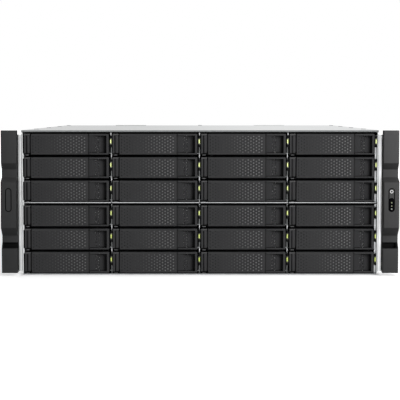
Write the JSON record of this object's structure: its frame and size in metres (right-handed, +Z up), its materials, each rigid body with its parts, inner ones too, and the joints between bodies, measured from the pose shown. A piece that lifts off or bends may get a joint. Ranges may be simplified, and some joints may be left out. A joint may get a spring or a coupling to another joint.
{
  "type": "rackmount storage server",
  "caption": "Tall rackmount storage server with hinged-lever drive trays across the front, moulded rack ears, a lidded sheet-steel chassis, rear fans and slide-in power modules.",
  "frame": {"origin": "on the ground under the middle of the server's box", "axes": "+X along the front to the right as seen from the front, +Y from the front to the back, +Z up"},
  "size_m": [0.4826, 0.593, 0.177],
  "materials": {
    "galvanised_sheet": "spangled zinc, satin",
    "cover_sheet": "plain zinc sheet, satin",
    "light_pipe": "clear moulded, lit",
    "ear_plastic": "fine sparked texture",
    "button_plastic": "smooth moulded",
    "board_laminate": "solder mask",
    "fan_plastic": "moulded",
    "module_case": "zinc sheet with black moulded face",
    "drive_casting": "bare casting and bright lid",
    "lever_plastic": "fine sparked texture"
  },
  "bodies": {
    "chassis": {"chassis": "galvanised_sheet", "rear_panel": "galvanised_sheet", "top_cover": "cover_sheet", "drive_cage": "galvanised_sheet", "light_pipes": "light_pipe", "ear_covers": "ear_plastic", "circuit_boards": "board_laminate"},
    "power_button": {"power_button": "button_plastic"},
    "fan_rotor_1": {"fan_rotor_1": "fan_plastic"},
    "fan_rotor_2": {"fan_rotor_2": "fan_plastic"},
    "psu_1": {"psu_1": "module_case"},
    "psu_2": {"psu_2": "module_case"},
    "tray_r1_c1": {"tray_r1_c1": "drive_casting"},
    "lever_r1_c1": {"lever_r1_c1": "lever_plastic"},
    "tray_r1_c2": {"tray_r1_c2": "drive_casting"},
    "lever_r1_c2": {"lever_r1_c2": "lever_plastic"},
    "tray_r1_c3": {"tray_r1_c3": "drive_casting"},
    "lever_r1_c3": {"lever_r1_c3": "lever_plastic"},
    "tray_r1_c4": {"tray_r1_c4": "drive_casting"},
    "lever_r1_c4": {"lever_r1_c4": "lever_plastic"},
    "tray_r2_c1": {"tray_r2_c1": "drive_casting"},
    "lever_r2_c1": {"lever_r2_c1": "lever_plastic"},
    "tray_r2_c2": {"tray_r2_c2": "drive_casting"},
    "lever_r2_c2": {"lever_r2_c2": "lever_plastic"},
    "tray_r2_c3": {"tray_r2_c3": "drive_casting"},
    "lever_r2_c3": {"lever_r2_c3": "lever_plastic"},
    "tray_r2_c4": {"tray_r2_c4": "drive_casting"},
    "lever_r2_c4": {"lever_r2_c4": "lever_plastic"},
    "tray_r3_c1": {"tray_r3_c1": "drive_casting"},
    "lever_r3_c1": {"lever_r3_c1": "lever_plastic"},
    "tray_r3_c2": {"tray_r3_c2": "drive_casting"},
    "lever_r3_c2": {"lever_r3_c2": "lever_plastic"},
    "tray_r3_c3": {"tray_r3_c3": "drive_casting"},
    "lever_r3_c3": {"lever_r3_c3": "lever_plastic"},
    "tray_r3_c4": {"tray_r3_c4": "drive_casting"},
    "lever_r3_c4": {"lever_r3_c4": "lever_plastic"},
    "tray_r4_c1": {"tray_r4_c1": "drive_casting"},
    "lever_r4_c1": {"lever_r4_c1": "lever_plastic"},
    "tray_r4_c2": {"tray_r4_c2": "drive_casting"},
    "lever_r4_c2": {"lever_r4_c2": "lever_plastic"},
    "tray_r4_c3": {"tray_r4_c3": "drive_casting"},
    "lever_r4_c3": {"lever_r4_c3": "lever_plastic"},
    "tray_r4_c4": {"tray_r4_c4": "drive_casting"},
    "lever_r4_c4": {"lever_r4_c4": "lever_plastic"},
    "tray_r5_c1": {"tray_r5_c1": "drive_casting"},
    "lever_r5_c1": {"lever_r5_c1": "lever_plastic"},
    "tray_r5_c2": {"tray_r5_c2": "drive_casting"},
    "lever_r5_c2": {"lever_r5_c2": "lever_plastic"},
    "tray_r5_c3": {"tray_r5_c3": "drive_casting"},
    "lever_r5_c3": {"lever_r5_c3": "lever_plastic"},
    "tray_r5_c4": {"tray_r5_c4": "drive_casting"},
    "lever_r5_c4": {"lever_r5_c4": "lever_plastic"},
    "tray_r6_c1": {"tray_r6_c1": "drive_casting"},
    "lever_r6_c1": {"lever_r6_c1": "lever_plastic"},
    "tray_r6_c2": {"tray_r6_c2": "drive_casting"},
    "lever_r6_c2": {"lever_r6_c2": "lever_plastic"},
    "tray_r6_c3": {"tray_r6_c3": "drive_casting"},
    "lever_r6_c3": {"lever_r6_c3": "lever_plastic"},
    "tray_r6_c4": {"tray_r6_c4": "drive_casting"},
    "lever_r6_c4": {"lever_r6_c4": "lever_plastic"}
  },
  "joints": [
    {"name": "power_button_press", "type": "slide", "parent": "chassis", "child": "power_button", "axis": [0, 1, 0], "range_m": [0, 0.0012], "stiffness_N_per_m": 600},
    {"name": "fan_1_spin", "type": "hinge", "parent": "chassis", "child": "fan_rotor_1", "pos_m": [-0.002, 0.2455, 0.124], "axis": [0, 1, 0], "continuous": true},
    {"name": "fan_2_spin", "type": "hinge", "parent": "chassis", "child": "fan_rotor_2", "pos_m": [0.082, 0.2455, 0.124], "axis": [0, 1, 0], "continuous": true},
    {"name": "psu_1_slide", "type": "slide", "parent": "chassis", "child": "psu_1", "axis": [0, 1, 0], "range_m": [0, 0.17]},
    {"name": "psu_2_slide", "type": "slide", "parent": "chassis", "child": "psu_2", "axis": [0, 1, 0], "range_m": [0, 0.17]},
    {"name": "tray_r1_c1_slide", "type": "slide", "parent": "chassis", "child": "tray_r1_c1", "axis": [0, -1, 0], "range_m": [0, 0.16]},
    {"name": "lever_r1_c1_hinge", "type": "hinge", "parent": "tray_r1_c1", "child": "lever_r1_c1", "pos_m": [-0.2097, -0.2778, 0.1599], "axis": [0, 0, -1], "range_deg": [0, 55]},
    {"name": "tray_r1_c2_slide", "type": "slide", "parent": "chassis", "child": "tray_r1_c2", "axis": [0, -1, 0], "range_m": [0, 0.16]},
    {"name": "lever_r1_c2_hinge", "type": "hinge", "parent": "tray_r1_c2", "child": "lever_r1_c2", "pos_m": [-0.1017, -0.2778, 0.1599], "axis": [0, 0, -1], "range_deg": [0, 55]},
    {"name": "tray_r1_c3_slide", "type": "slide", "parent": "chassis", "child": "tray_r1_c3", "axis": [0, -1, 0], "range_m": [0, 0.16]},
    {"name": "lever_r1_c3_hinge", "type": "hinge", "parent": "tray_r1_c3", "child": "lever_r1_c3", "pos_m": [0.0063, -0.2778, 0.1599], "axis": [0, 0, -1], "range_deg": [0, 55]},
    {"name": "tray_r1_c4_slide", "type": "slide", "parent": "chassis", "child": "tray_r1_c4", "axis": [0, -1, 0], "range_m": [0, 0.16]},
    {"name": "lever_r1_c4_hinge", "type": "hinge", "parent": "tray_r1_c4", "child": "lever_r1_c4", "pos_m": [0.1143, -0.2778, 0.1599], "axis": [0, 0, -1], "range_deg": [0, 55]},
    {"name": "tray_r2_c1_slide", "type": "slide", "parent": "chassis", "child": "tray_r2_c1", "axis": [0, -1, 0], "range_m": [0, 0.16]},
    {"name": "lever_r2_c1_hinge", "type": "hinge", "parent": "tray_r2_c1", "child": "lever_r2_c1", "pos_m": [-0.2097, -0.2778, 0.1313], "axis": [0, 0, -1], "range_deg": [0, 55]},
    {"name": "tray_r2_c2_slide", "type": "slide", "parent": "chassis", "child": "tray_r2_c2", "axis": [0, -1, 0], "range_m": [0, 0.16]},
    {"name": "lever_r2_c2_hinge", "type": "hinge", "parent": "tray_r2_c2", "child": "lever_r2_c2", "pos_m": [-0.1017, -0.2778, 0.1313], "axis": [0, 0, -1], "range_deg": [0, 55]},
    {"name": "tray_r2_c3_slide", "type": "slide", "parent": "chassis", "child": "tray_r2_c3", "axis": [0, -1, 0], "range_m": [0, 0.16]},
    {"name": "lever_r2_c3_hinge", "type": "hinge", "parent": "tray_r2_c3", "child": "lever_r2_c3", "pos_m": [0.0063, -0.2778, 0.1313], "axis": [0, 0, -1], "range_deg": [0, 55]},
    {"name": "tray_r2_c4_slide", "type": "slide", "parent": "chassis", "child": "tray_r2_c4", "axis": [0, -1, 0], "range_m": [0, 0.16]},
    {"name": "lever_r2_c4_hinge", "type": "hinge", "parent": "tray_r2_c4", "child": "lever_r2_c4", "pos_m": [0.1143, -0.2778, 0.1313], "axis": [0, 0, -1], "range_deg": [0, 55]},
    {"name": "tray_r3_c1_slide", "type": "slide", "parent": "chassis", "child": "tray_r3_c1", "axis": [0, -1, 0], "range_m": [0, 0.16]},
    {"name": "lever_r3_c1_hinge", "type": "hinge", "parent": "tray_r3_c1", "child": "lever_r3_c1", "pos_m": [-0.2097, -0.2778, 0.1027], "axis": [0, 0, -1], "range_deg": [0, 55]},
    {"name": "tray_r3_c2_slide", "type": "slide", "parent": "chassis", "child": "tray_r3_c2", "axis": [0, -1, 0], "range_m": [0, 0.16]},
    {"name": "lever_r3_c2_hinge", "type": "hinge", "parent": "tray_r3_c2", "child": "lever_r3_c2", "pos_m": [-0.1017, -0.2778, 0.1027], "axis": [0, 0, -1], "range_deg": [0, 55]},
    {"name": "tray_r3_c3_slide", "type": "slide", "parent": "chassis", "child": "tray_r3_c3", "axis": [0, -1, 0], "range_m": [0, 0.16]},
    {"name": "lever_r3_c3_hinge", "type": "hinge", "parent": "tray_r3_c3", "child": "lever_r3_c3", "pos_m": [0.0063, -0.2778, 0.1027], "axis": [0, 0, -1], "range_deg": [0, 55]},
    {"name": "tray_r3_c4_slide", "type": "slide", "parent": "chassis", "child": "tray_r3_c4", "axis": [0, -1, 0], "range_m": [0, 0.16]},
    {"name": "lever_r3_c4_hinge", "type": "hinge", "parent": "tray_r3_c4", "child": "lever_r3_c4", "pos_m": [0.1143, -0.2778, 0.1027], "axis": [0, 0, -1], "range_deg": [0, 55]},
    {"name": "tray_r4_c1_slide", "type": "slide", "parent": "chassis", "child": "tray_r4_c1", "axis": [0, -1, 0], "range_m": [0, 0.16]},
    {"name": "lever_r4_c1_hinge", "type": "hinge", "parent": "tray_r4_c1", "child": "lever_r4_c1", "pos_m": [-0.2097, -0.2778, 0.0723], "axis": [0, 0, -1], "range_deg": [0, 55]},
    {"name": "tray_r4_c2_slide", "type": "slide", "parent": "chassis", "child": "tray_r4_c2", "axis": [0, -1, 0], "range_m": [0, 0.16]},
    {"name": "lever_r4_c2_hinge", "type": "hinge", "parent": "tray_r4_c2", "child": "lever_r4_c2", "pos_m": [-0.1017, -0.2778, 0.0723], "axis": [0, 0, -1], "range_deg": [0, 55]},
    {"name": "tray_r4_c3_slide", "type": "slide", "parent": "chassis", "child": "tray_r4_c3", "axis": [0, -1, 0], "range_m": [0, 0.16]},
    {"name": "lever_r4_c3_hinge", "type": "hinge", "parent": "tray_r4_c3", "child": "lever_r4_c3", "pos_m": [0.0063, -0.2778, 0.0723], "axis": [0, 0, -1], "range_deg": [0, 55]},
    {"name": "tray_r4_c4_slide", "type": "slide", "parent": "chassis", "child": "tray_r4_c4", "axis": [0, -1, 0], "range_m": [0, 0.16]},
    {"name": "lever_r4_c4_hinge", "type": "hinge", "parent": "tray_r4_c4", "child": "lever_r4_c4", "pos_m": [0.1143, -0.2778, 0.0723], "axis": [0, 0, -1], "range_deg": [0, 55]},
    {"name": "tray_r5_c1_slide", "type": "slide", "parent": "chassis", "child": "tray_r5_c1", "axis": [0, -1, 0], "range_m": [0, 0.16]},
    {"name": "lever_r5_c1_hinge", "type": "hinge", "parent": "tray_r5_c1", "child": "lever_r5_c1", "pos_m": [-0.2097, -0.2778, 0.0437], "axis": [0, 0, -1], "range_deg": [0, 55]},
    {"name": "tray_r5_c2_slide", "type": "slide", "parent": "chassis", "child": "tray_r5_c2", "axis": [0, -1, 0], "range_m": [0, 0.16]},
    {"name": "lever_r5_c2_hinge", "type": "hinge", "parent": "tray_r5_c2", "child": "lever_r5_c2", "pos_m": [-0.1017, -0.2778, 0.0437], "axis": [0, 0, -1], "range_deg": [0, 55]},
    {"name": "tray_r5_c3_slide", "type": "slide", "parent": "chassis", "child": "tray_r5_c3", "axis": [0, -1, 0], "range_m": [0, 0.16]},
    {"name": "lever_r5_c3_hinge", "type": "hinge", "parent": "tray_r5_c3", "child": "lever_r5_c3", "pos_m": [0.0063, -0.2778, 0.0437], "axis": [0, 0, -1], "range_deg": [0, 55]},
    {"name": "tray_r5_c4_slide", "type": "slide", "parent": "chassis", "child": "tray_r5_c4", "axis": [0, -1, 0], "range_m": [0, 0.16]},
    {"name": "lever_r5_c4_hinge", "type": "hinge", "parent": "tray_r5_c4", "child": "lever_r5_c4", "pos_m": [0.1143, -0.2778, 0.0437], "axis": [0, 0, -1], "range_deg": [0, 55]},
    {"name": "tray_r6_c1_slide", "type": "slide", "parent": "chassis", "child": "tray_r6_c1", "axis": [0, -1, 0], "range_m": [0, 0.16]},
    {"name": "lever_r6_c1_hinge", "type": "hinge", "parent": "tray_r6_c1", "child": "lever_r6_c1", "pos_m": [-0.2097, -0.2778, 0.0151], "axis": [0, 0, -1], "range_deg": [0, 55]},
    {"name": "tray_r6_c2_slide", "type": "slide", "parent": "chassis", "child": "tray_r6_c2", "axis": [0, -1, 0], "range_m": [0, 0.16]},
    {"name": "lever_r6_c2_hinge", "type": "hinge", "parent": "tray_r6_c2", "child": "lever_r6_c2", "pos_m": [-0.1017, -0.2778, 0.0151], "axis": [0, 0, -1], "range_deg": [0, 55]},
    {"name": "tray_r6_c3_slide", "type": "slide", "parent": "chassis", "child": "tray_r6_c3", "axis": [0, -1, 0], "range_m": [0, 0.16]},
    {"name": "lever_r6_c3_hinge", "type": "hinge", "parent": "tray_r6_c3", "child": "lever_r6_c3", "pos_m": [0.0063, -0.2778, 0.0151], "axis": [0, 0, -1], "range_deg": [0, 55]},
    {"name": "tray_r6_c4_slide", "type": "slide", "parent": "chassis", "child": "tray_r6_c4", "axis": [0, -1, 0], "range_m": [0, 0.16]},
    {"name": "lever_r6_c4_hinge", "type": "hinge", "parent": "tray_r6_c4", "child": "lever_r6_c4", "pos_m": [0.1143, -0.2778, 0.0151], "axis": [0, 0, -1], "range_deg": [0, 55]}
  ]
}
